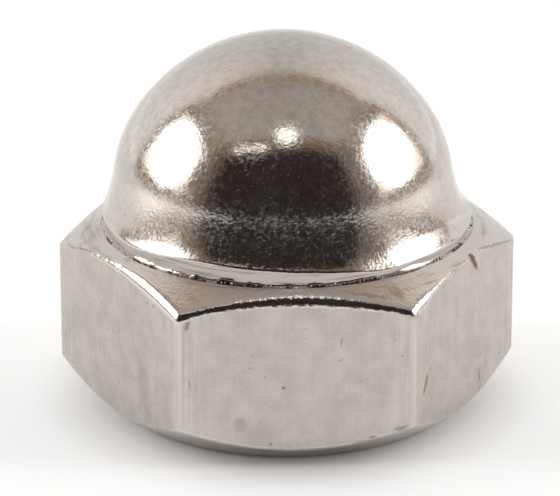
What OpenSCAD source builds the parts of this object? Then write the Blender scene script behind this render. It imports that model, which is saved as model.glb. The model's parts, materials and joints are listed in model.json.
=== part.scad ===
// Cap nut for an M8 screw, low form, turned from hexagon bar in one piece.
//
// The nut stands on its bearing face at z = 0 and its dome points along +Z. Two of
// its corners lie along X, so that two of its flats face along Y.
// A hexagon bar is turned to one outline: a chamfered bearing face, the cone that
// leaves the arcs on the flats, a low collar, a hollow neck, a shoulder and a
// spherical crown. The bar is then drilled and countersunk from below for the
// thread. All lengths are millimetres.

/* [Hexagon] */
// Size across the flats, for the spanner
af = 13; // [11:0.1:15]
// Depth taken off the six upright corners, so that they don't cut
corner_cut = 0.04; // [0.01:0.01:0.3]
// Height of the hexagon from the bearing face to the foot of the collar
body_h = 6; // [4.5:0.1:9]
// Distance that the bearing circle lies inside the flats
bearing_inset = 0.85; // [0.3:0.05:1.5]
// Slope of the lower chamfer, up from the bearing face
lower_chamfer = 36; // [15:1:50]
// Slope of the upper chamfer, down from the foot of the collar
upper_chamfer = 27; // [15:1:40]

/* [Dome] */
// Height of the dome from the foot of the collar to the top
dome_h = 6.25; // [5.6:0.05:8]
// Distance that the collar lies inside the flats
collar_inset = 0.47; // [0.2:0.01:1]
// Height of the collar's cylinder
collar_h = 0.46; // [0.2:0.02:0.9]
// Distance that the crown's sphere would lie inside the collar
crown_inset = 0.23; // [0.1:0.01:0.5]
// Height angle at which the crown passes into the shoulder
crown_to = 32; // [28:1:40]
// Radius of the shoulder, where the dome turns steep
shoulder_r = 4.15; // [3:0.05:5]
// Height angle at which the hollow neck ends on the collar's rim
neck_to = 31; // [26:1:40]

/* [Thread] */
// Nominal diameter of the thread
thread_d = 8; // [6:0.5:9]
// Pitch of the thread
pitch = 1.25; // [0.75:0.25:1.5]
// Depth of the tapping hole at its full diameter
bore_depth = 8; // [5:0.1:8.6]
// Point angle of the drill
point_angle = 118; // [90:1:140]
// Distance that the countersink lies outside the thread
countersink_over = 0.3; // [0.1:0.05:0.6]
// Full angle of the countersink
countersink_angle = 90; // [60:5:120]

/* [Hidden] */
// Distance from the axis to a flat, and to a corner before it is cut
flat_r = af / 2;
sharp_r = flat_r / cos(30);
// Turned radii
bearing_r = flat_r - bearing_inset;
collar_r = flat_r - collar_inset;
crown_r = collar_r - crown_inset;
// How far tools run past the metal, and a radius that lies outside it
overrun = 1;
clear_r = sharp_r + overrun;
// Bore radii: the tapping hole is drilled one pitch smaller than the thread
bore_r = (thread_d - pitch) / 2;
countersink_r = thread_d / 2 + countersink_over;
countersink_h = (countersink_r - bore_r) / tan(countersink_angle / 2);
point_h = bore_r / tan(point_angle / 2);
nut_h = body_h + dome_h;

// Unit vector at a height angle, as [radius, height]
function aim(angle) = [cos(angle), sin(angle)];

// The crown is centred on the axis, and the shoulder touches it from inside
crown_c = [0, nut_h - crown_r];
shoulder_c = crown_c + (crown_r - shoulder_r) * aim(crown_to);
// The neck's arc starts on the collar's rim and has the radius at which it just
// touches the shoulder. Its centre lies outside the metal.
collar_rim = [collar_r, body_h + collar_h];
rim_from_shoulder = collar_rim - shoulder_c;
neck_r = (rim_from_shoulder * rim_from_shoulder - shoulder_r * shoulder_r)
    / (2 * (shoulder_r - rim_from_shoulder * aim(neck_to)));
neck_c = collar_rim + neck_r * aim(neck_to);

// Heights of the waist, where the neck meets the shoulder, and of the crown's foot
waist_z = (neck_c[1] * shoulder_r + shoulder_c[1] * neck_r) / (shoulder_r + neck_r);
crown_foot_z = crown_c[1] + crown_r * sin(crown_to);
// The arcs cross by this much where they touch, so that they always meet
touch = 0.0005;

$fa = 3;
$fs = 0.15;

// Hexagon of the bar, with its corners cut back to one circle
module hexagon() {
    intersection() {
        circle(sharp_r, $fn = 6);
        circle(sharp_r - corner_cut);
    }
}

// Crown and shoulder: the crown's circle, held in by the shoulder's below its foot
module crown_and_shoulder() {
    intersection() {
        translate(crown_c) circle(crown_r);
        union() {
            translate([0, crown_foot_z]) square([clear_r, crown_r]);
            translate([0, waist_z]) square([shoulder_c[0], crown_r]);
            translate(shoulder_c) circle(shoulder_r + touch);
        }
        square([clear_r, nut_h + overrun]);
    }
}

// Dome on its collar: the neck's circle is cut out of a column of the collar's size
module dome() {
    difference() {
        union() {
            square([collar_r, waist_z]);
            crown_and_shoulder();
        }
        translate(neck_c) circle(neck_r + touch);
    }
}

// Half of the turned outline, from the axis outwards. The upper chamfer's line runs
// on to the axis inside the dome.
module turned_outline() {
    polygon([
        [0, 0],
        [bearing_r, 0],
        [clear_r, (clear_r - bearing_r) * tan(lower_chamfer)],
        [clear_r, body_h - (clear_r - collar_r) * tan(upper_chamfer)],
        [0, body_h + collar_r * tan(upper_chamfer)]
    ]);
    dome();
}

// Bar after turning
module turned_bar() {
    intersection() {
        linear_extrude(nut_h + overrun) hexagon();
        rotate_extrude() turned_outline();
    }
}

// Tapping hole with the drill's point, and the countersink at its mouth
module tapping_hole() {
    rotate_extrude() polygon([
        [0, -overrun],
        [countersink_r + overrun * tan(countersink_angle / 2), -overrun],
        [bore_r, countersink_h],
        [bore_r, bore_depth],
        [0, bore_depth + point_h]
    ]);
}

module cap_nut() {
    color([0.74, 0.72, 0.69])
    difference() {
        turned_bar();
        tapping_hole();
    }
}

cap_nut();
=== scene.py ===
# %% [markdown]
# # A nickel-plated cap nut in a light tent
#
# The nut is one piece of metal: a hexagon bar turned to a dome on a low collar, with
# a blind tapped hole from below. A mirror-like thing shows hardly anything of its own,
# only what stands round it. So this file has two halves that matter equally: the exact
# form of the metal with its small roundings, and the white tent that it reflects.
#
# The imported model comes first. It fixes the size and place of everything that follows.

import json
import math

import bpy
import numpy as np
from mathutils import Matrix, Vector

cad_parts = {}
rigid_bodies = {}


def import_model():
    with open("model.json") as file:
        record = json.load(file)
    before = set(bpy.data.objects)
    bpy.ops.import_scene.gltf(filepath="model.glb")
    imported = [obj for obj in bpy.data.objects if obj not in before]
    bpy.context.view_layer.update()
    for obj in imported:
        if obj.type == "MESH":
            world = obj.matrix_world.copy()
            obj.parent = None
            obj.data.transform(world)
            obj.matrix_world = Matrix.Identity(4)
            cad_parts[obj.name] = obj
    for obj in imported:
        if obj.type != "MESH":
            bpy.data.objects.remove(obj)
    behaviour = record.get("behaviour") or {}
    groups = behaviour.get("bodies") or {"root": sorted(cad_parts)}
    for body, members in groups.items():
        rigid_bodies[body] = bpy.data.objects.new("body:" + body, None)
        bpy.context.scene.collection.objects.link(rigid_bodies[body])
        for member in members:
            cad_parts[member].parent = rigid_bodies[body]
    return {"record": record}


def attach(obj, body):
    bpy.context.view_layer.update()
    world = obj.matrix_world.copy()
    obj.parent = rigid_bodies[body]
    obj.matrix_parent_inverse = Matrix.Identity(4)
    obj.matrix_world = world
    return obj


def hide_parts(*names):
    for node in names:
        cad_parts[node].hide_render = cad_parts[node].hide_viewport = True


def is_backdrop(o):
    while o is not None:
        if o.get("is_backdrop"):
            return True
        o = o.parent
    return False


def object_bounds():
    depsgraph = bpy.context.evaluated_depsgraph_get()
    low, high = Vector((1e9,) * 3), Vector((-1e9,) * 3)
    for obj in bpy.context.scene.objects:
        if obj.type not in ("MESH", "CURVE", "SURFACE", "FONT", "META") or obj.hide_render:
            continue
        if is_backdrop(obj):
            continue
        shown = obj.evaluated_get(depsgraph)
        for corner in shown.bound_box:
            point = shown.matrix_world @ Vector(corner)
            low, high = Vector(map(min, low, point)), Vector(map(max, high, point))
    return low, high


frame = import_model()
cad_low, cad_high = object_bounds()
MM = 0.001
nut_h = cad_high.z / MM
flat_r = cad_high.y / MM
thread = next(m for m in frame["record"]["mounts"] if m["name"] == "thread")
bore_r = thread["dims"]["r_mm"]
print(f"nut {nut_h:.2f} mm high, {2 * flat_r:.2f} mm across the flats, bore {2 * bore_r:.2f} mm")

# %% [markdown]
# ## The camera
#
# A camera's place can be found by hand, by trying. Here it was worked out from the
# hexagon's edges: their lengths and slopes leave only one distance, height and turn.
# The lens is long, so the nut shows little perspective although the camera is near.
# It looks slightly past the nut's axis, so its own axes are built first, and it is then
# moved sideways and up along them.
#
# In Blender a camera, lamp or mesh is data, and an object puts the data at a place. The
# helper here makes the object and links it into the scene.

# %% Camera
def linked(name, data):
    """A new object with that data, linked into the scene."""
    made = bpy.data.objects.new(name, data)
    bpy.context.collection.objects.link(made)
    return made


look_down = math.radians(21.12)
nut_turn = math.radians(2.36)
tilt = math.radians(-0.12)
lens_mm, sensor_mm = 245.6, 36
distance = 125.12
aim_height = 6.0
aside, above = -0.231, -0.952

forward = np.array([0, math.cos(look_down), -math.sin(look_down)])
level_up = np.array([0, math.sin(look_down), math.cos(look_down)])
level_right = np.array([1.0, 0, 0])
right = math.cos(tilt) * level_right + math.sin(tilt) * level_up
up = math.cos(tilt) * level_up - math.sin(tilt) * level_right
place = right * aside + up * above - forward * distance + np.array([0, 0, aim_height])
studio_turn = Matrix.Rotation(-nut_turn, 4, "Z")

camera = linked("camera", bpy.data.cameras.new("camera"))
axes = Matrix(np.column_stack([right, up, -forward]).tolist()).to_4x4()
camera.matrix_world = studio_turn @ Matrix.Translation(Vector(place) * MM) @ axes
camera.data.lens = lens_mm
camera.data.sensor_width = sensor_mm
camera.data.clip_start = 0.001
bpy.context.scene.camera = camera
print("camera at", [round(v / MM, 1) for v in camera.matrix_world.translation], "mm")

# %% [markdown]
# ## Helpers for materials
#
# Colours are written as people read them from a picture, in sRGB hex. Shaders count
# in linear light, so one function turns them over. Another adds a node: settings are
# its attributes, and an input is either a value or another node's output, by its name
# or number. On a Map Range node 0 is the value, 1 and 2 are the range it comes from, and
# 3 and 4 the range it is stretched to, which is 0 to 1 if they are left out.

# %% Colours and nodes
def linear(hex_colour):
    """An sRGB hex colour as linear red, green and blue, with alpha 1."""
    srgb = [int(hex_colour[i:i + 2], 16) / 255 for i in (0, 2, 4)]
    return [c / 12.92 if c <= 0.04045 else ((c + 0.055) / 1.055) ** 2.4 for c in srgb] + [1]


def add(tree, kind, inputs=None, **settings):
    """Adds a node, sets its attributes, and fills its inputs with values or links."""
    node = tree.nodes.new(kind)
    for name, value in settings.items():
        setattr(node, name, value)
    for key, value in (inputs or {}).items():
        if isinstance(value, bpy.types.NodeSocket):
            tree.links.new(value, node.inputs[key])
        else:
            node.inputs[key].default_value = value
    return node


def new_material(name):
    """An empty material and its node tree."""
    material = bpy.data.materials.new(name)
    material.use_nodes = True
    material.node_tree.nodes.clear()
    return material, material.node_tree


print("mid grey in linear light:", [round(v, 3) for v in linear("808080")])

# %% [markdown]
# ## Patterns for the plate
#
# Bright nickel is a warm white metal. Its colour is the colour of its reflection, so
# the base colour is what a white wall looks like in it. All of the nut has the same
# plate. What differs is how the steel under it was made: the dome was polished, the
# flats were drawn through a die, the cones were turned on a lathe. Each leaves its own
# pattern of heights, which is noise read in millimetres of the object's own space.
#
# Marks that run round the nut need a coordinate that goes round without a seam. The
# direction from the axis does that: scaled up, it moves by one for each streak length.
# Patches are noise cut off between two levels, so that clean plate is left between them.

# %% Places in millimetres
def millimetres(tree):
    """Object coordinates in millimetres."""
    place = add(tree, "ShaderNodeTexCoord").outputs["Object"]
    return add(tree, "ShaderNodeVectorMath", {0: place, "Scale": 1 / MM}, operation="SCALE").outputs[0]


def streaks_up(tree, place, width, length):
    """Coordinates for streaks along Z, of that width and length."""
    return add(tree, "ShaderNodeVectorMath", {0: place, 1: (1 / width, 1 / width, 1 / length)},
               operation="MULTIPLY").outputs[0]


def streaks_round(tree, place, radius, length, width):
    """Coordinates for streaks round Z, of that length at that radius, and that width."""
    outward = add(tree, "ShaderNodeVectorMath", {0: place, 1: (1, 1, 0)}, operation="MULTIPLY").outputs[0]
    outward = add(tree, "ShaderNodeVectorMath", {0: outward}, operation="NORMALIZE").outputs[0]
    rise = add(tree, "ShaderNodeVectorMath", {0: place, 1: (0, 0, 1 / width)},
               operation="MULTIPLY").outputs[0]
    return add(tree, "ShaderNodeVectorMath", {0: outward, 1: (radius / length,) * 3, 2: rise},
               operation="MULTIPLY_ADD").outputs[0]


def share_by_height(tree, place, none_at, all_at):
    """0 at one height above the table and 1 at another, with a smooth step between them."""
    height = add(tree, "ShaderNodeSeparateXYZ", {0: place}).outputs["Z"]
    return add(tree, "ShaderNodeMapRange", {0: height, 1: none_at, 2: all_at},
               interpolation_type="SMOOTHSTEP").outputs[0]


def from_axis(tree, place):
    """Distance from the nut's axis."""
    outward = add(tree, "ShaderNodeVectorMath", {0: place, 1: (1, 1, 0)}, operation="MULTIPLY").outputs[0]
    return add(tree, "ShaderNodeVectorMath", {0: outward}, operation="LENGTH").outputs["Value"]


def patches(tree, place, size, low, high, detail=2.0, roughness=0.5, most=1.0):
    """Noise of that size, 0 where it is under low and rising to most where it is over high."""
    noise = add(tree, "ShaderNodeTexNoise", {"Vector": place, "Scale": 1 / size, "Detail": detail,
                                             "Roughness": roughness})
    return add(tree, "ShaderNodeMapRange", {0: noise.outputs["Fac"], 1: low, 2: high, 3: 0.0, 4: most},
               interpolation_type="SMOOTHSTEP").outputs[0]


print("patterns are read at", 1 / MM, "to the metre")

# %% [markdown]
# The polished dome still has a faint grain that breaks up the edges of the reflections.
# The real scratches are thinner than this picture can show, so the grain is drawn about
# a tenth of a millimetre wide. It is deeper and streakier at the front of the neck,
# where the polishing wheel can't reach. Where the polish missed, the plate is a little
# frosted, in clouds, and the dark of the room looks dusty in it.

# %% What the polishing wheel leaves behind
def polishing_grain(tree, place):
    """Grain all over the dome, and short streaks on the front of the neck and shoulder."""
    low = share_by_height(tree, place, none_at=8.8, all_at=7.5)
    y = add(tree, "ShaderNodeSeparateXYZ", {0: place}).outputs["Y"]
    front = add(tree, "ShaderNodeMapRange", {0: y, 1: -3.9, 2: -4.9, 3: 0.15, 4: 1.0},
                interpolation_type="SMOOTHSTEP").outputs[0]
    low = add(tree, "ShaderNodeMath", {0: low, 1: front}, operation="MULTIPLY").outputs[0]
    grain = add(tree, "ShaderNodeTexNoise", {"Vector": place, "Scale": 1 / 0.085, "Detail": 1.0})
    wheel = streaks_round(tree, place, radius=5.6, length=0.2, width=0.08)
    streaks = add(tree, "ShaderNodeTexNoise", {"Vector": wheel, "Scale": 1.0})
    deep = add(tree, "ShaderNodeMath", {0: streaks.outputs["Fac"], 1: low}, operation="MULTIPLY")
    more = add(tree, "ShaderNodeMath", {0: grain.outputs["Fac"], 1: low}, operation="MULTIPLY")
    return [(grain.outputs["Fac"], 0.0032), (more.outputs[0], 0.0012), (deep.outputs[0], 0.0033)]


def haze(tree, place):
    """A thin uneven haze on the polish, a few tenths of a millimetre wide."""
    return patches(tree, place, size=0.30, low=0.36, high=0.66, detail=4.0, roughness=0.65)


def frosted_pits(tree, place):
    """Tiny dull pits in the polish, in clouds, most of them round the neck."""
    low = share_by_height(tree, place, none_at=9.8, all_at=7.6)
    clouds = add(tree, "ShaderNodeTexNoise", {"Vector": place, "Scale": 1 / 1.1, "Detail": 2.0})
    pits = add(tree, "ShaderNodeTexNoise", {"Vector": place, "Scale": 1 / 0.12, "Detail": 3.0,
                                            "Roughness": 0.6})
    spots = add(tree, "ShaderNodeMath", {0: low, 1: 0.05, 2: pits.outputs["Fac"]}, operation="MULTIPLY_ADD")
    spots = add(tree, "ShaderNodeMath", {0: clouds.outputs["Fac"], 1: 0.30, 2: spots.outputs[0]},
                operation="MULTIPLY_ADD")
    return add(tree, "ShaderNodeMapRange", {0: spots.outputs[0], 1: 0.59, 2: 0.91}).outputs[0]


print("dome:", *(pattern.__name__ for pattern in (polishing_grain, haze, frosted_pits)))

# %% [markdown]
# A lathe tool leaves rings, and a coordinate that changes slowly round the nut and
# quickly up it draws them. They are fine on the cones. On the collar the tool rubbed and
# smeared the metal, so its rings are softer, and the plate on them is dull in streaks.
# Dirt stays where the brush doesn't reach, and dries to brown arcs round the cones. The
# edges were rubbed round by other nuts, and dented.

# %% What the lathe tool leaves behind
def turning_marks(tree, place):
    """Fine rings from the lathe tool, and grain."""
    tool = streaks_round(tree, place, radius=6.5, length=2.5, width=0.06)
    rings = add(tree, "ShaderNodeTexNoise", {"Vector": tool, "Scale": 1.0})
    grain = add(tree, "ShaderNodeTexNoise", {"Vector": place, "Scale": 1 / 0.11})
    return [(rings.outputs["Fac"], 0.0016), (grain.outputs["Fac"], 0.0075)]


def smeared_rings(tree, place):
    """Softer rings on the collar, where the tool rubbed and smeared the metal."""
    tool = streaks_round(tree, place, radius=6.0, length=1.4, width=0.09)
    rings = add(tree, "ShaderNodeTexNoise", {"Vector": tool, "Scale": 1.0, "Detail": 3.0})
    grain = add(tree, "ShaderNodeTexNoise", {"Vector": place, "Scale": 1 / 0.14})
    return [(rings.outputs["Fac"], 0.0090), (grain.outputs["Fac"], 0.0050)]


def dull_rings(tree, place):
    """Streaks round the collar where the smeared metal took the plate badly."""
    tool = streaks_round(tree, place, radius=6.0, length=1.8, width=0.08)
    return patches(tree, tool, size=1.0, low=0.44, high=0.72, detail=3.0, roughness=0.6)


def faint_grain(tree, place):
    """A grain so low that it only makes the edges of a reflection uneven."""
    grain = add(tree, "ShaderNodeTexNoise", {"Vector": place, "Scale": 1 / 0.25, "Detail": 3.0})
    return [(grain.outputs["Fac"], 0.0050)]


def small_dents(tree, place):
    """Dents along the edges, from other nuts in the same bag."""
    dents = add(tree, "ShaderNodeTexNoise", {"Vector": place, "Scale": 1 / 0.16, "Roughness": 0.6})
    return [(dents.outputs["Fac"], 0.019)]


def lighter_outwards(tree, place):
    """0 near the collar's foot and 1 farther out, where the cone is lighter."""
    return add(tree, "ShaderNodeMapRange", {0: from_axis(tree, place), 1: 6.3, 2: 7.0},
               interpolation_type="SMOOTHSTEP").outputs[0]


def brown_arcs(tree, place):
    """Brown arcs where the cones hold dirt, in patches."""
    tool = streaks_round(tree, place, radius=6.5, length=2.4, width=0.14)
    arcs = patches(tree, tool, size=1.0, low=0.50, high=0.70, detail=3.0, roughness=0.6, most=0.7)
    held = patches(tree, place, size=1.1, low=0.36, high=0.60, detail=4.0, roughness=0.6)
    return add(tree, "ShaderNodeMath", {0: arcs, 1: held}, operation="MULTIPLY").outputs[0]


print("collar and cones:", *(pattern.__name__ for pattern in (
    turning_marks, smeared_rings, dull_rings, faint_grain, small_dents, lighter_outwards, brown_arcs)))

# %% [markdown]
# The flats are the surface of the drawn bar. The die leaves faint lines up them, and
# the satin of the plate over it is cloudy, with dark specks where the plate is thin.
# Next to the upright edges the lines are rubbed brighter. The real lines are finer than
# a pixel, so they are drawn a tenth of a millimetre wide.

# %% What the drawing die leaves on the flats
def draw_lines(tree, place):
    """Lines up the flats from the drawing die, over a faint grain."""
    die = streaks_up(tree, place, width=0.09, length=2.2)
    lines = add(tree, "ShaderNodeTexNoise", {"Vector": die, "Scale": 1.0})
    grain = add(tree, "ShaderNodeTexNoise", {"Vector": place, "Scale": 1 / 0.22, "Detail": 3.0})
    return [(lines.outputs["Fac"], 0.0016), (grain.outputs["Fac"], 0.0020)]


def clouds_on_flats(tree, place):
    """Soft patches of a darker satin, half a millimetre to a millimetre wide."""
    return patches(tree, place, size=0.8, low=0.34, high=0.68, detail=5.0, roughness=0.68)


def bright_lines(tree, place):
    """The die's lines, faint over the flats and rubbed bright next to the upright edges."""
    lines = patches(tree, streaks_up(tree, place, width=0.10, length=3.5), size=1.0, low=0.34, high=0.74)
    rubbed = add(tree, "ShaderNodeMapRange", {0: from_axis(tree, place), 1: 6.95, 2: 7.42, 3: 0.08, 4: 0.35},
                 interpolation_type="SMOOTHSTEP").outputs[0]
    return add(tree, "ShaderNodeMath", {0: lines, 1: rubbed}, operation="MULTIPLY").outputs[0]


def dark_specks(tree, place):
    """Specks of a tenth of a millimetre where the plate is thin, gathered in some places."""
    specks = add(tree, "ShaderNodeTexNoise", {"Vector": place, "Scale": 1 / 0.11, "Detail": 1.0})
    gathered = add(tree, "ShaderNodeTexNoise", {"Vector": place, "Scale": 1 / 1.3, "Detail": 3.0})
    specks = add(tree, "ShaderNodeMath", {0: gathered.outputs["Fac"], 1: 0.35, 2: specks.outputs["Fac"]},
                 operation="MULTIPLY_ADD")
    return add(tree, "ShaderNodeMapRange", {0: specks.outputs[0], 1: 0.87, 2: 0.96, 3: 0.0, 4: 0.5},
               interpolation_type="SMOOTHSTEP").outputs[0]


print("flats:", *(pattern.__name__ for pattern in (draw_lines, clouds_on_flats, bright_lines, dark_specks)))

# %% [markdown]
# A few marks are single ones: a nick in the upper edge of a flat, scratches, spots of
# brown stain on the flats and on the cone over them, and a grey smudge. Each is an
# ellipse on its flat, half a millimetre deep, so that it also meets the cone. All of
# them get ragged edges from noise that moves the point they are measured at. The nick
# is a brown mark too, and it is the only one that is also cut into the metal.

# %% Single marks
# Direction the flat faces, distance along it, height, lean, half length, half width, strength
NICK = [(330, 0.50, 5.52, -37, 0.55, 0.11, 1.00)]
BROWN_MARKS = NICK + [
    (270, -0.40, 2.76, 35, 0.07, 0.05, 0.75),
    (270, -0.98, 3.14, 10, 0.04, 0.03, 0.45),
    (270, -3.40, 4.96, 12, 0.17, 0.08, 0.55),
    (270, 2.42, 1.02, 85, 0.12, 0.05, 0.55),
    (270, 3.30, 1.30, 80, 0.24, 0.08, 0.40),
    (270, 1.43, 4.28, 4, 0.20, 0.03, 0.35),
    (270, 1.40, 3.69, 76, 0.10, 0.03, 0.35),
    (330, 0.30, 5.86, -60, 0.20, 0.10, 0.80),
    (330, 2.20, 5.50, -78, 1.35, 0.05, 0.50),
    (210, 2.00, 5.11, 0, 0.07, 0.06, 0.45),
    (210, 2.37, 5.13, 0, 0.05, 0.06, 0.35),
    (210, -2.02, 5.62, 84, 0.75, 0.04, 0.45),
    (210, 1.70, 2.20, -15, 0.90, 0.40, 0.16),
]
RUSTY_MARKS = [
    (330, -2.98, 2.52, 26, 0.37, 0.10, 0.85),
    (330, 1.12, 0.78, -20, 0.12, 0.07, 0.45),
    (330, -2.62, 2.92, 20, 0.12, 0.06, 0.35),
    (270, 3.46, 1.36, 80, 0.20, 0.06, 0.35),
]
CONE_STAINS = [
    (300, -0.14, 5.57, -40, 0.30, 0.24, 0.42),
    (285, 0.59, 5.73, -80, 0.80, 0.03, 0.36),
    (240, 0.30, 5.59, -78, 0.50, 0.08, 0.22),
]
GREY_MARKS = [
    (270, -1.76, 1.55, 0, 0.27, 0.22, 0.22),
    (270, -0.80, 0.86, 0, 0.05, 0.06, 0.60),
    (330, 1.09, 1.29, -10, 0.29, 0.035, 0.85),
]
mark_depth = 0.5
ragged_by, ragged_every = 0.14, 0.15
nick_depth = 0.03


def marks(table):
    """A pattern: the strength of the nearest mark of a table, highest in its middle."""
    def pattern(tree, place):
        uneven = add(tree, "ShaderNodeTexNoise", {"Vector": place, "Scale": 1 / ragged_every})
        uneven = add(tree, "ShaderNodeVectorMath", {0: uneven.outputs["Color"], 1: (0.5, 0.5, 0.5)},
                     operation="SUBTRACT").outputs[0]
        ragged = add(tree, "ShaderNodeVectorMath", {0: uneven, 1: (ragged_by,) * 3, 2: place},
                     operation="MULTIPLY_ADD").outputs[0]
        strongest = None
        for facing, along, height, lean, half_length, half_width, strength in table:
            turn = math.radians(facing)
            centre = (flat_r * math.cos(turn) - along * math.sin(turn),
                      flat_r * math.sin(turn) + along * math.cos(turn), height)
            local = add(tree, "ShaderNodeMapping", {
                "Vector": ragged, "Location": centre, "Scale": (half_width, mark_depth, half_length),
                "Rotation": (0, math.radians(lean), turn - math.radians(270))}, vector_type="TEXTURE")
            away = add(tree, "ShaderNodeVectorMath", {0: local.outputs[0]},
                       operation="LENGTH").outputs["Value"]
            mark = add(tree, "ShaderNodeMapRange", {0: away, 1: 1.3, 2: 0.6, 3: 0.0, 4: strength},
                       interpolation_type="SMOOTHSTEP").outputs[0]
            if strongest:
                mark = add(tree, "ShaderNodeMath", {0: strongest, 1: mark}, operation="MAXIMUM").outputs[0]
            strongest = mark
        return strongest
    return pattern


def lines_and_nick(tree, place):
    """The flats' lines and grain, and the nick that is cut into the upper edge."""
    nick = marks(NICK)(tree, place)
    whole = add(tree, "ShaderNodeMath", {0: 1.0, 1: nick}, operation="SUBTRACT").outputs[0]
    return draw_lines(tree, place) + [(whole, nick_depth)]


print(len(BROWN_MARKS + RUSTY_MARKS + CONE_STAINS + GREY_MARKS), "single marks")

# %% [markdown]
# All of the real nut has one coat of nickel, and it shines as well as the steel under it
# is smooth. So each finish is the same metal with another roughness, other heights and
# another share of dirt. A metal's sheen and depth come from what it mirrors, so none of
# them has a gloss of its own. A comment says what each one gives the eye.

# %% Finishes of the plate
PLATE = "CFC7C1"
BRIGHT_PLATE = "D3CAC2"
SATIN_PLATE = "C4BDB7"
CLOUDED_PLATE = "B5AEA8"
RUBBED_PLATE = "E6DFD9"
BORE_PLATE = "A59C93"
FROST = "CDC9C5"
HAZED_PLATE = "C2B8AF"
SMEARED_PLATE = "B5ADA7"
DULL_PLATE = "8E8580"
OUTER_CONE_PLATE = "D9D1CA"
# The slit's colour is painted shade, tinted brown by dirt
SLIT_SHADE_AND_DIRT = "6E5A49"
DIRT = "96795C"
STAIN = "6B4E39"
RUST = "9A6A35"
SPECK = "6A625E"


def finish(name, roughness, heights, colour=PLATE, tones=(), dull=None):
    """A nickel finish: heights gives (pattern, height in mm) pairs, tones are (share, colour) pairs
    laid over the plate's colour, and dull is a (pattern, added roughness) pair."""
    material, tree = new_material(name)
    place = millimetres(tree)
    shader = add(tree, "ShaderNodeBsdfPrincipled", {"Base Color": linear(colour), "Metallic": 1.0,
                                                    "Roughness": roughness})
    under = linear(colour)
    for share, over in tones:
        under = add(tree, "ShaderNodeMix", {0: share(tree, place), 6: under, 7: linear(over)},
                    data_type="RGBA").outputs[2]
        tree.links.new(under, shader.inputs["Base Color"])
    if dull:
        pattern, added = dull
        total = add(tree, "ShaderNodeMath", {0: pattern(tree, place), 1: added, 2: roughness},
                    operation="MULTIPLY_ADD")
        tree.links.new(total.outputs[0], shader.inputs["Roughness"])
    for pattern, height in heights(tree, place):
        bump = add(tree, "ShaderNodeBump", {"Height": pattern, "Distance": height * MM, "Strength": 1.0})
        if shader.inputs["Normal"].is_linked:
            tree.links.new(shader.inputs["Normal"].links[0].from_socket, bump.inputs["Normal"])
        tree.links.new(bump.outputs["Normal"], shader.inputs["Normal"])
    add(tree, "ShaderNodeOutputMaterial", {"Surface": shader.outputs[0]})
    return material


FLAT_TONES = [(clouds_on_flats, CLOUDED_PLATE), (bright_lines, RUBBED_PLATE), (dark_specks, SPECK),
              (marks(GREY_MARKS), SPECK), (marks(BROWN_MARKS), STAIN), (marks(RUSTY_MARKS), RUST)]
FINISHES = [
    # Nearly a mirror: the tent in clear shapes with frayed edges, dusty where it is frosted
    finish("polished_nickel", 0.11, polishing_grain, colour=BRIGHT_PLATE,
           tones=[(haze, HAZED_PLATE), (frosted_pits, FROST)], dull=(frosted_pits, 0.18)),
    # Satin: a pale cloudy sheen without shapes in it, and the marks of use
    finish("drawn_nickel", 0.30, lines_and_nick, colour=SATIN_PLATE, tones=FLAT_TONES),
    # Silky: a soft glint along the cones, broken by rings and by brown arcs of dirt
    finish("turned_nickel", 0.20, turning_marks,
           tones=[(lighter_outwards, OUTER_CONE_PLATE), (brown_arcs, DIRT), (marks(CONE_STAINS), DIRT)]),
    # Streaky: light and dark drawn out round the collar
    finish("smeared_nickel", 0.15, smeared_rings, colour=SMEARED_PLATE, tones=[(dull_rings, DULL_PLATE)]),
    # Smooth: one clean bright line along the left of the front edge
    finish("rolled_edge_nickel", 0.14, faint_grain),
    # Rubbed and dented: a line of broken glints along the other edges
    finish("rubbed_nickel", 0.16, small_dents, tones=[(brown_arcs, DIRT), (marks(BROWN_MARKS), STAIN)]),
    # Worn by the spanner: a brighter stripe on the upright corners, with the die's lines in it
    finish("worn_nickel", 0.26, draw_lines, colour=SATIN_PLATE, tones=[(bright_lines, RUBBED_PLATE)]),
    # Grey and dull: the bath hardly plates the inside of the hole
    finish("tapped_nickel", 0.32, turning_marks, colour=BORE_PLATE),
    # Painted shade in the slit under the torn skin, with brown dirt: a dark thread of a line at the collar's
    # foot
    finish("slit_under_collar", 0.35, small_dents, colour=SLIT_SHADE_AND_DIRT),
]
POLISHED, DRAWN, TURNED, COLLAR, ROLLED, RUBBED, WORN, TAPPED, SLIT = range(len(FINISHES))
print("finishes:", [m.name for m in FINISHES])

# %% [markdown]
# ## The body
#
# A lathe could make everything but the flats, and a hexagonal prism could make only
# those. Both come from one grid here. Its columns go round the nut, and each column is
# an outline that starts at the point of the drilled hole, comes out under the nut,
# climbs the wall and ends on top of the dome. Only the distance of the wall differs
# from column to column. That makes the flats, and the two cones then cut their arcs
# into them by themselves.
#
# Every edge of the real nut is rounded, if only by a few tenths of a millimetre. Such a
# rounding mirrors half the tent in a narrow strip, and so draws the bright and dark
# lines along the edges. So each corner of the outline is a true arc.

# %% Sizes of the body, in millimetres
body_h = 6.0
corner_rounding = 0.27
bearing_r = 5.65
lower_slope = math.tan(math.radians(36))
upper_slope = math.tan(math.radians(27))
collar_r = 6.03
collar_h = 0.46
crown_r = 5.8
crown_to = math.radians(32)
shoulder_r = 4.15
neck_foot_r = 1.36
neck_foot_to = math.radians(19)
rim_to = math.radians(41)
root_r = 4.0
countersink_r = 4.3
thread_end = 6.45
bore_depth = 8.0
half_point = math.radians(59)
point_h = bore_r / math.tan(half_point)


def aim(angle):
    """Unit vector at a height angle, as radius and height."""
    return np.array([math.cos(angle), math.sin(angle)])


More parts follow.
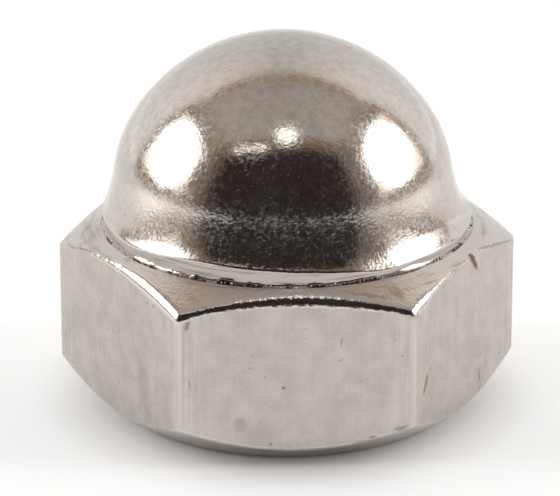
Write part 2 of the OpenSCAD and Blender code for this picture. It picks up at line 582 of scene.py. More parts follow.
crown_c = np.array([0, nut_h - crown_r])
shoulder_c = crown_c + (crown_r - shoulder_r) * aim(crown_to)
rim = np.array([collar_r, body_h + collar_h])
neck_foot_c = rim + neck_foot_r * aim(rim_to)
foot_top = neck_foot_c - neck_foot_r * aim(neck_foot_to)
reach = foot_top - shoulder_c
neck_r = (reach @ reach - shoulder_r ** 2) / (2 * (shoulder_r - reach @ aim(neck_foot_to)))
neck_c = foot_top + neck_r * aim(neck_foot_to)
waist_angle = math.atan2(neck_c[1] - shoulder_c[1], neck_c[0] - shoulder_c[0])
print(f"neck radius {neck_r:.2f} mm, meets the shoulder at {math.degrees(waist_angle):.1f} degrees")

# %% [markdown]
# The columns stand close together where a corner is rounded and evenly along the flats.
# The wavering values are sums of sines with a fixed seed. They go round the nut and
# join up, and make the edges a little uneven, as a tool leaves them.

# %% Columns round the nut
flat_steps, corner_steps = 64, 6
corner_c = (flat_r - corner_rounding) / math.cos(math.radians(30))
corner_half = math.atan2(corner_rounding / 2, corner_c + corner_rounding * math.cos(math.radians(30)))
angles, at_corner = [], []
for side in range(6):
    start = math.radians(60 * side) - corner_half
    angles += [start + 2 * corner_half * i / corner_steps for i in range(corner_steps)]
    at_corner += [True] * corner_steps
    start += 2 * corner_half
    angles += [start + (math.radians(60) - 2 * corner_half) * i / flat_steps for i in range(flat_steps)]
    at_corner += [False] * flat_steps
angles = np.array(angles)


def wall_distance(angle):
    """Distance from the axis to the wall of the bar, with its corners rounded."""
    off = abs((angle + math.radians(30)) % math.radians(60) - math.radians(30))
    if off <= corner_half:
        return corner_c * math.cos(off) + math.sqrt(corner_rounding ** 2 - (corner_c * math.sin(off)) ** 2)
    return flat_r / math.cos(math.radians(30) - off)


def wavering(seed, slowest, fastest):
    """An uneven value for each column, mostly between -1 and 1."""
    rng = np.random.default_rng(seed)
    waves = rng.integers(slowest, fastest, 24)
    phases = rng.uniform(0, 2 * math.pi, len(waves))
    return sum(np.sin(n * angles + p) for n, p in zip(waves, phases)) / math.sqrt(len(waves))


print(len(angles), "columns")

# %% [markdown]
# The dome was not turned in quite the same chucking as the collar: its axis lies an
# eighth of a millimetre to one side, and its foot runs a little out of true. So the
# neck meets the collar's wall higher on that side, and the collar shows as a band of
# uneven width. For each column the height of that rim is worked out from the neck.
#
# The edges are not equally worn either. The two front corners have been knocked about,
# and there the rounding is widest.
#
# Both are written down as a value at some angles. The dome mirrors a lamp as one long
# stroke, and any kink in the rim would split it, so the rim's values are averaged over
# twelve degrees.

# %% What is uneven round the nut
dome_aside = -0.128
WORN_EDGE = {0: 0.12, 120: 0.15, 190: 0.10, 205: 0.26, 225: 0.50, 239: 0.52, 246: 0.30, 262: 0.43, 280: 0.46,
             292: 0.36, 297: 0.30, 299: 0.34, 301: 0.50, 304: 0.50, 307: 0.30, 312: 0.16, 360: 0.12}
turned_to = np.degrees(angles) % 360
edge_rounding = np.interp(turned_to, list(WORN_EDGE), list(WORN_EDGE.values()))
edge_rounding *= 1 + 0.05 * wavering(3, 30, 120)


def bulge(at, width):
    """A smooth bump of height 1 at an angle in degrees."""
    away = (turned_to - at + 180) % 360 - 180
    return np.exp(-(away / width) ** 2)


RIM_LIFT = {0: -0.02, 150: -0.10, 205: -0.20, 213: -0.22, 223: -0.10, 238: 0.08, 270: 0.04, 288: -0.04,
            299: -0.18, 307: -0.06, 320: -0.03, 360: -0.02}
averaged_over = range(-6, 7, 2)
rim_lift = 0.006 * wavering(7, 5, 40)
for offset in averaged_over:
    near = np.interp((turned_to + offset) % 360, list(RIM_LIFT), list(RIM_LIFT.values()))
    rim_lift += near / len(averaged_over)
smear = 0.7 * bulge(218, 5) + bulge(308, 6) + 0.4 * bulge(232, 4)
torn = np.clip(0.2 + 1.1 * wavering(5, 8, 50) + 0.5 * wavering(6, 50, 140), 0, 1.5)
torn *= 0.12 + 0.88 * bulge(256, 38)
slit_height, slit_depth = 0.07, 0.06
print(f"edge rounding {edge_rounding.min():.2f} to {edge_rounding.max():.2f} mm, "
      f"collar torn open by up to {slit_height * torn.max():.2f} mm")

# %% [markdown]
# The outline of the hexagon's part is simple to write down as a path through corners:
# up the bore and out of it, along the bearing face, up the lower cone and the wall, and
# in along the upper cone. Each inner corner is then rounded with its own radius. Every
# column gets the same number of steps, so that neighbouring columns join up to squares,
# and each step remembers the line or arc it is on, because that decides its finish.

# %% The outline of one column
def rounded(corners, roundings, arc_steps, line_steps):
    """A path through corners whose inner ones are rounded to arcs, and for each step of the path
    whether it is on an arc, with the number of that corner or line."""
    path, kinds = [corners[0]], []

    def straight_to(end, line):
        first = path[-1]
        for k in range(line_steps[line]):
            path.append(first + (end - first) * (k + 1) / line_steps[line])
            kinds.append((False, line))

    for i in range(1, len(corners) - 1):
        back = corners[i - 1] - corners[i]
        on = corners[i + 1] - corners[i]
        back, on = back / np.linalg.norm(back), on / np.linalg.norm(on)
        half = math.acos(back @ on) / 2
        turned = math.pi - 2 * half
        first, last = (corners[i] + v * roundings[i] / math.tan(half) for v in (back, on))
        centre = corners[i] + (back + on) / np.linalg.norm(back + on) * roundings[i] / math.sin(half)
        straight_to(first, i - 1)
        for k in range(1, arc_steps[i] + 1):
            t = k / arc_steps[i]
            a, b = (math.sin(s * turned) / math.sin(turned) for s in (1 - t, t))
            path.append(centre + a * (first - centre) + b * (last - centre))
            kinds.append((True, i))
    straight_to(corners[-1], len(corners) - 2)
    return path, kinds


ARC_STEPS = [0, 3, 3, 3, 3, 3, 4, 7, 12]
LINE_STEPS = [4, 2, 3, 8, 2, 6, 4, 12, 8]
LINE_FINISH = [TAPPED, TAPPED, TAPPED, TAPPED, TAPPED, TURNED, TURNED, DRAWN, TURNED]
ARC_FINISH = [TAPPED, TAPPED, TAPPED, TAPPED, TAPPED, TURNED, RUBBED, RUBBED, RUBBED]
WALL_LINE, TOP_ARC = 7, 8
smooth_from, smooth_to = 212, 242
cone_end = 0.07


def bar_path(i):
    """The outline at column i from the drilled point to the end of the cone, as radius and height."""
    wall = wall_distance(angles[i])
    corners = [np.array(p) for p in (
        (0, bore_depth + point_h),
        (bore_r, bore_depth),
        (bore_r, thread_end + root_r - bore_r),
        (root_r, thread_end),
        (root_r, countersink_r - root_r),
        (countersink_r, 0),
        (bearing_r, 0),
        (wall, (wall - bearing_r) * lower_slope),
        (wall, body_h - (wall - collar_r) * upper_slope),
        (collar_r + cone_end, body_h - cone_end * upper_slope))]
    roundings = [0, 0.1, 0.1, 0.1, 0.05, 0.05, 0.06, 0.18, edge_rounding[i]]
    return rounded(corners, roundings, ARC_STEPS, LINE_STEPS)


print(len(bar_path(0)[0]), "points from the drilled point to the end of the cone")

# %% [markdown]
# The tool that turned the cone tore the foot of the collar. The skin of the collar
# stands off a little there and leaves a dark slit under it, deep in some places and
# closed in others. That slit is part of the same outline: the path goes in under the
# skin and comes out again.

# %% The torn foot of the collar, and its rim
wall_steps, rim_steps, foot_steps, neck_steps, shoulder_steps, crown_steps = 5, 4, 16, 10, 18, 44
rim_rounding = 0.05


def dome_side(i):
    """How far the collar's wall is from the dome's own axis at column i, and in which direction."""
    out = collar_r * np.array([math.cos(angles[i]), math.sin(angles[i])]) - (dome_aside, 0)
    return np.linalg.norm(out), out / np.linalg.norm(out)


def collar_path(i, rim_z):
    """The slit, the collar's wall and the rounding at its rim, as radius and height."""
    gap, depth = slit_height * torn[i], slit_depth * torn[i]
    lip, lip_h = 0.02 + 0.06 * smear[i], 0.03 + 0.06 * smear[i]
    slit = [(collar_r + 0.03, body_h - 0.01), (collar_r - depth, body_h + 0.005),
            (collar_r - depth, body_h + 0.01 + 0.5 * gap), (collar_r + lip, body_h + 0.02 + gap),
            (collar_r + 0.85 * lip, body_h + 0.02 + gap + 0.5 * lip_h),
            (collar_r + 0.4 * lip, body_h + 0.02 + gap + lip_h)]
    low, high = body_h + 0.03 + gap + 1.5 * lip_h, rim_z - rim_rounding
    return slit + [(collar_r, low + (high - low) * k / wall_steps) for k in range(wall_steps + 1)]


def dome_path(i):
    """Rim, neck, shoulder and crown to just under the top, about the dome's own axis."""
    rim_r, _ = dome_side(i)
    rim_angle = math.acos((neck_foot_c[0] - rim_r) / neck_foot_r)
    start = rim_angle - rim_rounding / neck_foot_r
    arcs = [(neck_foot_c, -neck_foot_r, start, neck_foot_to, foot_steps),
            (neck_c, -neck_r, neck_foot_to, waist_angle, neck_steps),
            (shoulder_c, shoulder_r, waist_angle, crown_to, shoulder_steps),
            (crown_c, crown_r, crown_to, math.pi / 2, crown_steps)]
    path = []
    for centre, radius, first, last, steps in arcs:
        path += [centre + radius * aim(first + (last - first) * k / steps) for k in range(1, steps + 1)]
    rim_z = neck_foot_c[1] - neck_foot_r * math.sin(rim_angle)
    corner, onto = np.array([rim_r, rim_z]), neck_foot_c - neck_foot_r * aim(start)
    foot = corner - (0, rim_rounding)
    bend = [(1 - t) ** 2 * foot + 2 * t * (1 - t) * corner + t * t * onto
            for t in (k / rim_steps for k in range(1, rim_steps + 1))]
    path = np.array(bend + path[:-1])
    waist_z = neck_c[1] - neck_r * math.sin(waist_angle)
    near_rim = np.clip((waist_z - path[:, 1]) / (waist_z - rim_z), 0, 1)
    path[:, 1] += rim_lift[i] * near_rim ** 2
    return path, rim_z + rim_lift[i]


print(len(collar_path(0, rim[1])), "points up the collar,", len(dome_path(0)[0]), "over the dome")

# %% [markdown]
# Now every column can be worked out. Put side by side they are a grid of points. Up to
# the collar's rim they stand round the nut's own axis, and from there on round the
# dome's, which is moved to the side a little.

# %% The grid, from the drilled point to the top of the dome
columns = []
for i, angle in enumerate(angles):
    bar, kinds = bar_path(i)
    dome, rim_z = dome_path(i)
    outward = np.array([math.cos(angle), math.sin(angle)])
    points = [(*(r * outward), z) for r, z in bar[1:] + collar_path(i, rim_z)]
    _, outward = dome_side(i)
    points += [(dome_aside + r * outward[0], r * outward[1], z) for r, z in dome]
    columns.append(points)
grid = np.array(columns).transpose(1, 0, 2)
rows, around = grid.shape[:2]
slit_row = len(kinds)
collar_rows = len(collar_path(0, rim_z))
print(rows, "rows of", around, "points")

# %% [markdown]
# The grid becomes one closed mesh: squares between the rows, and a fan of triangles at
# each end, at the drill's point and on top of the dome. Each row of faces knows from
# its step in the outline which finish it has. A few also ask where they are round the
# nut: the upright corners are worn, a stretch of the upper edge is rolled smooth, and
# the slit gets its painted shade and brown dirt only where it is open.

# %% Mesh of the body
slit_rows, open_slit = 3, 0.15


def finish_of(i, step):
    """The finish of the face at column i that lies over that step of the outline."""
    up = step - slit_row
    if up >= 0:
        # Only the open slit gets the painted shade and dirt
        if up < slit_rows and torn[i] > open_slit:
            return SLIT
        return COLLAR if up < collar_rows else POLISHED
    on_arc, number = kinds[step]
    if number == WALL_LINE and not on_arc and at_corner[i]:
        return WORN
    if number == TOP_ARC and on_arc and smooth_from < turned_to[i] < smooth_to:
        return ROLLED
    return (ARC_FINISH if on_arc else LINE_FINISH)[number]


points = [tuple(p) for p in grid.reshape(-1, 3) * MM]
drill_point, dome_top = len(points), len(points) + 1
points += [(0, 0, (bore_depth + point_h) * MM), (dome_aside * MM, 0, nut_h * MM)]
faces, face_finish = [], []
for i in range(around):
    j = (i + 1) % around
    faces.append((drill_point, j, i))
    face_finish.append(TAPPED)
    for row in range(rows - 1):
        a, b = row * around, (row + 1) * around
        faces.append((a + i, a + j, b + j, b + i))
        face_finish.append(finish_of(i, row + 1))
    faces.append((b + i, b + j, dome_top))
    face_finish.append(POLISHED)

mesh = bpy.data.meshes.new("cap_nut_body")
mesh.from_pydata(points, [], faces)
for material in FINISHES:
    mesh.materials.append(material)
mesh.polygons.foreach_set("material_index", face_finish)
mesh.shade_smooth()
body = linked("cap_nut_body", mesh)
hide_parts("cap_nut")
print("body:", sum(len(f) - 2 for f in faces), "triangles")

# %% [markdown]
# ## The thread
#
# Geometry Nodes suit what follows a path or is repeated, and the nut has one of each: its
# thread and its burr. A tree of nodes has a named input for each size. A modifier runs
# the tree on an object made for it, and its result is then kept as a plain mesh.

# %% Helpers for Geometry Nodes
def node_group(name, sizes):
    """A geometry node tree with a geometry output and named number inputs."""
    tree = bpy.data.node_groups.new(name, "GeometryNodeTree")
    tree.interface.new_socket("Geometry", in_out="OUTPUT", socket_type="NodeSocketGeometry")
    for label in sizes:
        kind = "NodeSocketInt" if isinstance(sizes[label], int) else "NodeSocketFloat"
        tree.interface.new_socket(label, in_out="INPUT", socket_type=kind)
    return tree, add(tree, "NodeGroupInput").outputs


def made_by(tree, name, sizes):
    """The tree's result as a plain mesh object that rides on the nut."""
    carrier = linked(name, bpy.data.meshes.new(name))
    modifier = carrier.modifiers.new(name, "NODES")
    modifier.node_group = tree
    for socket in tree.interface.items_tree:
        if socket.in_out == "INPUT":
            modifier[socket.identifier] = sizes[socket.name]
    seen = carrier.evaluated_get(bpy.context.evaluated_depsgraph_get())
    carrier.data = bpy.data.meshes.new_from_object(seen)
    carrier.modifiers.clear()
    print(name, "has", sum(len(p.vertices) - 2 for p in carrier.data.polygons), "triangles")
    return carrier


# %% [markdown]
# An internal thread is a ridge that winds up the wall of the hole. It is a spiral curve
# with a trapezoid swept along it, and a scale that runs to nothing over the first and
# last half turn, as the tap's entry and run-out leave it. The body's hole is as wide as
# the thread's grooves, and the ridge comes in from there to the size of the drilled
# hole. Its foot lies a little inside the wall, so that no gap shows.

# %% Ridge of the thread
pitch, overlap = 1.25, 0.02
ridge_start = countersink_r - root_r
ridge_turns = (thread_end - ridge_start) / pitch
ridge_sizes = {
    "Turns": ridge_turns,
    "Pitch": pitch * MM,
    "Radius": (root_r + overlap) * MM,
    "Depth": (root_r + overlap - bore_r) * MM,
    "Foot Width": pitch * 7 / 8 * MM,
    "Crest Width": pitch / 4 * MM,
    "Start Height": ridge_start * MM,
    "Runout": 0.5 / ridge_turns,
}
tree, size = node_group("thread_ridge", ridge_sizes)
height = add(tree, "ShaderNodeMath", {0: size["Turns"], 1: size["Pitch"]}, operation="MULTIPLY").outputs[0]
spiral = add(tree, "GeometryNodeCurveSpiral", {"Resolution": 96, "Rotations": size["Turns"],
                                               "Start Radius": size["Radius"],
                                               "End Radius": size["Radius"], "Height": height,
                                               "Reverse": False}).outputs[0]
spiral = add(tree, "GeometryNodeSetCurveNormal", {"Curve": spiral}, mode="Z_UP").outputs[0]
profile = add(tree, "GeometryNodeCurvePrimitiveQuadrilateral", {
    "Height": size["Depth"], "Bottom Width": size["Foot Width"], "Top Width": size["Crest Width"],
    "Offset": 0.0}, mode="TRAPEZOID").outputs[0]
half_depth = add(tree, "ShaderNodeMath", {0: size["Depth"], 1: 0.5}, operation="MULTIPLY").outputs[0]
lift = add(tree, "ShaderNodeCombineXYZ", {"Y": half_depth}).outputs[0]
profile = add(tree, "GeometryNodeTransform", {"Geometry": profile, "Translation": lift}).outputs[0]
along = add(tree, "GeometryNodeSplineParameter").outputs["Factor"]
left = add(tree, "ShaderNodeMath", {0: 1.0, 1: along}, operation="SUBTRACT").outputs[0]
to_end = add(tree, "ShaderNodeMath", {0: along, 1: left}, operation="MINIMUM").outputs[0]
full = add(tree, "ShaderNodeMath", {0: to_end, 1: size["Runout"]}, operation="DIVIDE").outputs[0]
full = add(tree, "ShaderNodeMath", {0: full, 1: 1.0}, operation="MINIMUM").outputs[0]
full = add(tree, "ShaderNodeMath", {0: full, 1: 0.02}, operation="MAXIMUM").outputs[0]
ridge = add(tree, "GeometryNodeCurveToMesh", {"Curve": spiral, "Profile Curve": profile, "Scale": full,
                                              "Fill Caps": True}).outputs[0]
start = add(tree, "ShaderNodeCombineXYZ", {"Z": size["Start Height"]}).outputs[0]
ridge = add(tree, "GeometryNodeTransform", {"Geometry": ridge, "Translation": start}).outputs[0]
ridge = add(tree, "GeometryNodeRealizeInstances", {"Geometry": ridge}).outputs[0]
ridge = add(tree, "GeometryNodeSetMaterial", {"Geometry": ridge, "Material": FINISHES[TAPPED]}).outputs[0]
add(tree, "NodeGroupOutput", {"Geometry": ridge})
ridge = made_by(tree, "thread_ridge", ridge_sizes)
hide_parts("cap_nut")
spots = np.array([v.co for v in ridge.data.vertices]) / MM
ridge_r = np.hypot(spots[:, 0], spots[:, 1])
print(f"ridge radius {ridge_r.min():.3f} to {ridge_r.max():.3f} mm, up to z = {spots[:, 2].max():.2f} mm")

# %% [markdown]
# ## The burr round the collar
#
# Where the tool turned the cone up to the collar, it left a torn line of crumbs under
# the plate. They are small lumps strewn along a circle. Geometry Nodes place them:
# points on a circle, each moved a little at random, each with a lump of random size
# and turn. The seed is fixed, so every run gives the same burr.

# %% Geometry Nodes for the burr
burr_sizes = {
    "Radius": (collar_r + 0.01) * MM,
    "Height": (body_h + 0.01) * MM,
    "Crumbs": 240,
    "Smallest": 0.012 * MM,
    "Largest": 0.042 * MM,
    "Spread": 0.03 * MM,
    "Seed": 11,
}
full_turn = 6.28
tree, size = node_group("collar_burr", burr_sizes)
circle = add(tree, "GeometryNodeCurvePrimitiveCircle", {"Resolution": 128,
                                                        "Radius": size["Radius"]}).outputs[0]
spots = add(tree, "GeometryNodeCurveToPoints", {"Curve": circle, "Count": size["Crumbs"]}).outputs["Points"]
minus = add(tree, "ShaderNodeMath", {0: size["Spread"], 1: -1.0}, operation="MULTIPLY").outputs[0]
low = add(tree, "ShaderNodeCombineXYZ", dict.fromkeys("XYZ", minus)).outputs[0]
high = add(tree, "ShaderNodeCombineXYZ", dict.fromkeys("XYZ", size["Spread"])).outputs[0]
stray = add(tree, "FunctionNodeRandomValue", {0: low, 1: high, "Seed": size["Seed"]},
            data_type="FLOAT_VECTOR").outputs[0]
level = add(tree, "ShaderNodeCombineXYZ", {"Z": size["Height"]}).outputs[0]
stray = add(tree, "ShaderNodeVectorMath", {0: stray, 1: level}, operation="ADD").outputs[0]
spots = add(tree, "GeometryNodeSetPosition", {"Geometry": spots, "Offset": stray}).outputs[0]
lump = add(tree, "GeometryNodeMeshIcoSphere", {"Radius": 1.0, "Subdivisions": 2}).outputs[0]
any_turn = add(tree, "FunctionNodeRandomValue", {0: (0,) * 3, 1: (full_turn,) * 3, "Seed": size["Seed"]},
               data_type="FLOAT_VECTOR").outputs[0]
any_turn = add(tree, "FunctionNodeEulerToRotation", {0: any_turn}).outputs[0]
low = add(tree, "ShaderNodeCombineXYZ", dict.fromkeys("XYZ", size["Smallest"])).outputs[0]
high = add(tree, "ShaderNodeCombineXYZ", dict.fromkeys("XYZ", size["Largest"])).outputs[0]
bulk = add(tree, "FunctionNodeRandomValue", {0: low, 1: high, "Seed": size["Seed"]},
           data_type="FLOAT_VECTOR").outputs[0]
crumbs = add(tree, "GeometryNodeInstanceOnPoints", {"Points": spots, "Instance": lump, "Rotation": any_turn,
                                                    "Scale": bulk}).outputs[0]
crumbs = add(tree, "GeometryNodeRealizeInstances", {"Geometry": crumbs}).outputs[0]
crumbs = add(tree, "GeometryNodeSetMaterial", {"Geometry": crumbs, "Material": FINISHES[RUBBED]}).outputs[0]
add(tree, "NodeGroupOutput", {"Geometry": crumbs})
burr = made_by(tree, "collar_burr", burr_sizes)
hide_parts("cap_nut")

for piece in (body, ridge, burr):
    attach(piece, "root")

# %% [markdown]
# ## The light tent
#
# Small bright things are photographed in a tent of white cloth, lit through its two
# side walls. Everything in the nut's dome is that tent: two lit panels with soft edges
# left and right, a grey roof, pale walls, and the dark of the room through the open
# front, which is a dark tone on the front wall. A lamp above the opening gives the
# highlight under the top of the dome, and a bright fold hangs beside it.
#
# The walls are planes that glow faintly. Each has a function that gives the tone of the
# cloth at a place, from 0 for black to 1 for white, and more where it is lit.

# %% Tones of the tent's cloth
half_w, half_d, roof_h = 360.0, 238.0, 540.0


def fade(value, start, end):
    """0 before start, 1 past end, and a smooth step between them. It also runs downwards."""
    t = np.clip((value - start) / (end - start), 0, 1)
    return t * t * (3 - 2 * t)


def blend(tone, other, share):
    """One tone turned into another by a share for each point."""
    return tone + (np.array(other) - tone) * share[:, None]


def box_share(a, a_low, a_high, b, b_low, b_high, soft):
    """1 inside a rectangle of two coordinates, falling to 0 over a soft edge outside it."""
    return (fade(a, a_low - soft, a_low) * fade(a, a_high + soft, a_high)
            * fade(b, b_low - soft, b_low) * fade(b, b_high + soft, b_high))


def back_tone(x, y, z):
    """Pale, darkest in the middle, with a brown seam under the roof."""
    level = 0.70 + 0.30 * np.clip(abs(x) / half_w / 0.66, 0, 1) + 0.2 * fade(z, 50, 0)
    tone = level[:, None] * blend(np.ones((len(x), 3)), (0.95, 0.90, 0.83), fade(z, 150, 480))
    return blend(tone, (0.46, 0.39, 0.32), fade(z, 465, 530))


def side_tone(x, y, z):
    """Brown unlit cloth, darker in a frame round the panel, and the glowing cloth of the panel."""
    tone = blend(np.ones((len(x), 3)) * 0.95, (0.68, 0.60, 0.53), fade(z, 22, 34))
    tone = blend(tone, (0.43, 0.37, 0.32), fade(z, 60, 330))
    tone = blend(tone, (0.22, 0.18, 0.15), fade(y, -150, -200))
    tone = blend(tone, (0.80, 0.77, 0.74), fade(y, 165, 235))
    tone = blend(tone, (0.47, 0.44, 0.42), fade(z, 480, 540))
    tone = blend(tone, (0.31, 0.24, 0.185), box_share(y, -165, 204, z, 14, 364, 12))
    front_end = np.where(x > 0, -132, -112)
    return blend(tone, (1.45, 1.36, 1.24), box_share(y, front_end, 160, z, 54, 306, 26))


def roof_tone(x, y, z):
    """Grey, brown along its back seam."""
    level = 1 + 0.13 * np.clip((abs(x) - 60) / 200, 0, 1)
    return blend(level[:, None] * (0.46, 0.435, 0.415), (0.44, 0.36, 0.29), fade(y, 110, 190))


def front_tone(x, y, z):
    """The dark room through the opening, a brown strip of cloth over it, and the fold with its shade."""
    tone = blend(np.ones((len(x), 3)) * (0.036, 0.029, 0.027), (0.28, 0.24, 0.21), fade(x, 240, 355))
    tone = blend(tone, (0.16, 0.13, 0.11), fade(x, -260, -350))
    tone = blend(tone, (0.26, 0.19, 0.14), fade(z, 345, 425))
    over_fold = z - 398 + 0.17 * (110 + x)
    along_fold = fade(x, -285, -255) * fade(x, -66, -92)
    tone = blend(tone, (0.06, 0.04, 0.03), along_fold * fade(over_fold, 6, 16) * fade(over_fold, 80, 56))
    return blend(tone, (6.0, 5.8, 5.5), along_fold * fade(over_fold, -14, -5) * fade(over_fold, 14, 5))


middle = np.array([[0.0], [0.0], [roof_h / 2]])
print("tones half way up:", back_tone(*middle).round(2), side_tone(*middle).round(2))

# %% [markdown]
# Cloth that is lit from behind has no shine and hardly any shade of its own, so a
# material that only glows is enough for it. Each wall is a plane cut into small squares,
# and the tones go into a colour attribute, one for each point. Cycles could also send
# rays to every glowing square. That costs time and helps little where the light is as
# wide and even as this, so it is switched off. The front reaches below the table, because
# the nut's lower parts mirror what lies in front of the table's edge.

# %% Walls of the tent
cloth, tree = new_material("glowing_cloth")
cloth.cycles.emission_sampling = "NONE"
tone = add(tree, "ShaderNodeAttribute", attribute_name="tone").outputs["Color"]
glow = add(tree, "ShaderNodeEmission", {"Color": tone, "Strength": 1.0}).outputs[0]
add(tree, "ShaderNodeOutputMaterial", {"Surface": glow})


def staged(name, spots, faces, material):
    """A mesh of points in mm round the nut, turned as the studio is. It isn't part of the nut."""
    mesh = bpy.data.meshes.new(name)
    mesh.from_pydata([tuple(studio_turn @ Vector(p) * MM) for p in spots], [], faces)
    mesh.materials.append(material)
    made = linked(name, mesh)
    made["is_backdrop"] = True
    return made


def wall(name, corner, side_a, side_b, tone_of, steps=72):
    """A flat wall from a corner along two sides, in mm, with its tones at each point."""
    a, b = np.meshgrid(np.linspace(0, 1, steps + 1), np.linspace(0, 1, steps + 1))
    spots = np.array(corner) + a.reshape(-1, 1) * np.array(side_a) + b.reshape(-1, 1) * np.array(side_b)
    n = steps + 1
    faces = [(k, k + 1, k + 1 + n, k + n) for k in range(n * steps) if k % n < steps]
    made = staged(name, spots, faces, cloth)
    colours = np.ones((len(spots), 4))
    colours[:, :3] = tone_of(*spots.T)
    attribute = made.data.color_attributes.new("tone", "FLOAT_COLOR", "POINT")
    attribute.data.foreach_set("color", colours.ravel())


front_foot = -90.0
wall("tent_back", (-half_w, half_d, 0), (2 * half_w, 0, 0), (0, 0, roof_h), back_tone)
wall("tent_left", (-half_w, -half_d, 0), (0, 2 * half_d, 0), (0, 0, roof_h), side_tone)
wall("tent_right", (half_w, -half_d, 0), (0, 2 * half_d, 0), (0, 0, roof_h), side_tone)
wall("tent_roof", (-half_w, -half_d, roof_h), (2 * half_w, 0, 0), (0, 2 * half_d, 0), roof_tone)
wall("tent_front", (-half_w, -half_d, front_foot), (2 * half_w, 0, 0), (0, 0, roof_h - front_foot),
     front_tone, steps=144)
print("tent", 2 * half_w, "x", 2 * half_d, "x", roof_h, "mm")

# %% [markdown]
# The real lamps shone through the cloth. Each showed as a bright round patch that faded
# out over the panel. Here an elliptical area lamp in front of the cloth is the patch,
# and the panel's own tone is what it fades into. Lamps like these also make the soft
# shadows. An area lamp shines along its own -Z, so it is turned to the nut. Its power
# is the brightness of its face, times its area, times pi.

# %% Lamps
def facing(centre):
    """The turn of a lamp at a place: level for one at a wall, and down at the nut for one overhead."""
    level = abs(centre[2]) < abs(centre[0])
    towards = Vector((-centre[0], 0, 0)) if level else Vector((0, 0, nut_h / 2)) - Vector(centre)
    return towards.to_track_quat("-Z", "Z" if level else "Y").to_matrix().to_4x4()


def lamp(name, centre, width, height, glow, colour):
    """An elliptical lamp at a place, in mm. glow is the brightness of its face."""
    data = bpy.data.lights.new(name, "AREA")
    data.shape = "ELLIPSE"
    data.size, data.size_y = width * MM, height * MM
    data.energy = glow * math.pi * (math.pi / 4 * data.size * data.size_y)
    data.color = colour
    made = linked(name, data)
    made.matrix_world = studio_turn @ Matrix.Translation(Vector(centre) * MM) @ facing(centre)
    print(f"{name} gives {data.energy:.3f} W")


cool = (0.96, 1.0, 1.05)
lamp("left_lamp", (-half_w + 4, 21, 184), 290, 272, 3.1, cool)
lamp("right_lamp", (half_w - 4, 2, 190), 292, 282, 2.75, cool)
lamp("top_lamp", (11, -124, 281), 68, 58, 2.1, (0.93, 1.0, 0.93))

# %% [markdown]
# The table is white paper, which is matt and looks the same from every side. The tent's
# light makes it almost white by itself. A share of its own glow, for what looks at it
# straight, through glass or in a mirror, brings it up to a plain white ground and leaves
# the nut's soft shadow. The nut's flats mirror the paper beside and before it brighter
# than the paper behind it, so the glow differs with the place. It fades out with
# distance, and there is none right at the nut.
#
# Far out to both sides the paper turns brown, but only for rays from a mirror. That is a
# painted dark frame round the lit panels in the dome's reflection, and the paper stays
# white in every view.

# %% White paper
paper, tree = new_material("white_paper")
paper.cycles.emission_sampling = "NONE"
rays = add(tree, "ShaderNodeLightPath").outputs
seen = add(tree, "ShaderNodeMath", {0: rays["Is Camera Ray"], 1: rays["Is Glossy Ray"]}, operation="ADD")
seen = add(tree, "ShaderNodeMath", {0: seen.outputs[0], 1: rays["Is Transmission Ray"]}, operation="ADD",
           use_clamp=True).outputs[0]
place = millimetres(tree)
spot = add(tree, "ShaderNodeSeparateXYZ", {0: place}).outputs
away = add(tree, "ShaderNodeVectorMath", {0: place}, operation="LENGTH").outputs["Value"]
from_light = add(tree, "ShaderNodeVectorMath", {0: place, 1: (0, 40, 0)},
                 operation="DISTANCE").outputs["Value"]
to_side = add(tree, "ShaderNodeMath", {0: spot["X"]}, operation="ABSOLUTE").outputs[0]
off_side = add(tree, "ShaderNodeMath", {0: spot["Y"], 1: to_side}, operation="DIVIDE").outputs[0]
off_side = add(tree, "ShaderNodeMath", {0: off_side, 1: 0.05}, operation="SUBTRACT").outputs[0]
off_side = add(tree, "ShaderNodeMath", {0: off_side}, operation="ABSOLUTE").outputs[0]
# Smooth steps: what is measured, where the step is 0 and where it is 1
STEPS = {
    "clear of the nut": (away, 5.0, 9.0),
    "in the light": (from_light, 150.0, 75.0),
    "behind": (spot["Y"], 4.0, 30.0),
    "beside": (to_side, 9.0, 20.0),
    "farther out": (away, 28.0, 52.0),
    "past the paper": (to_side, 118.0, 155.0),
    "sideways": (off_side, 0.62, 0.48),
}
step = {}
for name, (value, none_at, all_at) in STEPS.items():
    step[name] = add(tree, "ShaderNodeMapRange", {0: value, 1: none_at, 2: all_at},
                     interpolation_type="SMOOTHSTEP").outputs[0]
before = add(tree, "ShaderNodeMath", {0: 1.0, 1: step["behind"]}, operation="SUBTRACT").outputs[0]
at_right = add(tree, "ShaderNodeMapRange", {0: spot["X"], 1: 0.0, 2: 15.0, 3: 0.62, 4: 0.33}).outputs[0]
more = add(tree, "ShaderNodeMath", {0: step["farther out"], 1: at_right, 2: 0.03},
           operation="MULTIPLY_ADD").outputs[0]
sine = add(tree, "ShaderNodeMath", {0: to_side, 1: away}, operation="DIVIDE").outputs[0]
more = add(tree, "ShaderNodeMath", {0: sine, 1: more}, operation="MULTIPLY").outputs[0]
less = add(tree, "ShaderNodeMath", {0: step["beside"], 1: step["behind"]}, operation="MULTIPLY").outputs[0]
lift = add(tree, "ShaderNodeMapRange", {0: spot["Y"], 1: 30.0, 2: -10.0, 3: 0.33, 4: 0.35}).outputs[0]
lift = add(tree, "ShaderNodeMath", {0: more, 1: before, 2: lift}, operation="MULTIPLY_ADD").outputs[0]
lift = add(tree, "ShaderNodeMath", {0: less, 1: -0.14, 2: lift}, operation="MULTIPLY_ADD").outputs[0]
for share in (step["clear of the nut"], step["in the light"], seen):
    lift = add(tree, "ShaderNodeMath", {0: lift, 1: share}, operation="MULTIPLY").outputs[0]
glow = add(tree, "ShaderNodeEmission", {"Color": linear("FFFFFF"), "Strength": lift}).outputs[0]
# Painted dark frame for the reflections: brown paper far out at the sides, seen only by mirror rays
brown = step["past the paper"]
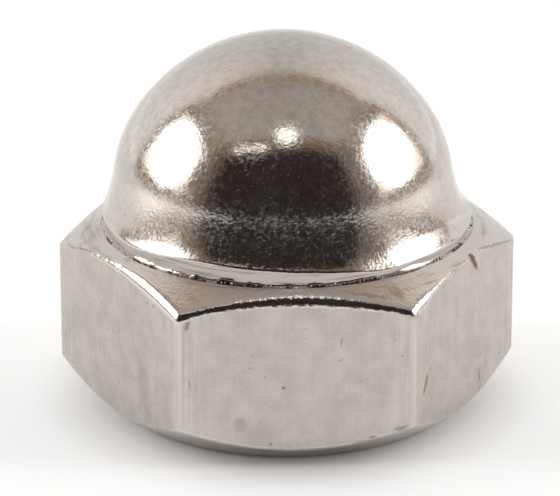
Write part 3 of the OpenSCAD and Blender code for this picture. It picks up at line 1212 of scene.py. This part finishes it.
for share in (step["sideways"], rays["Is Glossy Ray"]):
    brown = add(tree, "ShaderNodeMath", {0: brown, 1: share}, operation="MULTIPLY").outputs[0]
ground = add(tree, "ShaderNodeMix", {0: brown, 6: linear("EEEFF0"), 7: linear("A08C78")},
             data_type="RGBA").outputs[2]
diffuse = add(tree, "ShaderNodeBsdfDiffuse", {"Color": ground}).outputs[0]
sheet = add(tree, "ShaderNodeAddShader", {0: diffuse, 1: glow}).outputs[0]
clear = add(tree, "ShaderNodeBsdfTransparent").outputs[0]
below = add(tree, "ShaderNodeNewGeometry").outputs["Backfacing"]
sheet = add(tree, "ShaderNodeMixShader", {0: below, 1: sheet, 2: clear}).outputs[0]
add(tree, "ShaderNodeOutputMaterial", {"Surface": sheet})
print("paper:", len(tree.nodes), "nodes")

# %% [markdown]
# The sheet itself is two rings of faces round a hole. The hole lies under the nut, where
# nobody sees it from above, and together with the clear underside of the paper it lets
# a view from below in to the bearing face and the thread. Behind and at the sides the
# sheet runs up to the walls. In front it ends where the tent is open.

# %% Paper table
front_edge, hole_r, ring_r, spokes = -84.0, 5.3, 60.0, 96
rings = [[], [], []]
for k in range(spokes):
    angle = 2 * math.pi * k / spokes
    x, y = math.cos(angle), math.sin(angle)
    wall_at = half_w / max(abs(x), 1e-9)
    end_at = (half_d if y > 0 else -front_edge) / max(abs(y), 1e-9)
    for ring, radius in zip(rings, (hole_r, ring_r, min(wall_at, end_at))):
        ring.append((radius * x, radius * y, 0))
faces = []
for a in (0, spokes):
    for k in range(spokes):
        n = (k + 1) % spokes
        faces.append((a + k, a + spokes + k, a + spokes + n, a + n))
table = staged("paper_table", sum(rings, []), faces, paper)
print("paper", len(table.data.polygons), "faces, from", front_edge, "to", half_d, "mm")

# %% [markdown]
# The world shows only through the gap between the paper's front edge and the tent's
# front, and in views from under the table. It is as pale as the cloth, and its colour is
# a level of light like the cloth's tones. The Standard view shows colours as they are
# worked out, so white stays white.

# %% World and colour
world = bpy.data.worlds.new("pale_room")
bpy.context.scene.world = world
world.use_nodes = True
pale = (0.8, 0.79, 0.78, 1)
world.node_tree.nodes["Background"].inputs["Color"].default_value = pale
bpy.context.scene.view_settings.view_transform = "Standard"
print("world", pale[:3], "shown as", bpy.context.scene.view_settings.view_transform)

# %% [markdown]
# At the end the finished nut is measured, and its box is printed under the imported model's.
# It has to stay inside that box, because other scenes place the nut by it.

# %% Sizes, and the end
low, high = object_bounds()
print("CAD box   ", [round(v / MM, 3) for v in (*cad_low, *cad_high)])
print("visual box", [round(v / MM, 3) for v in (*low, *high)])
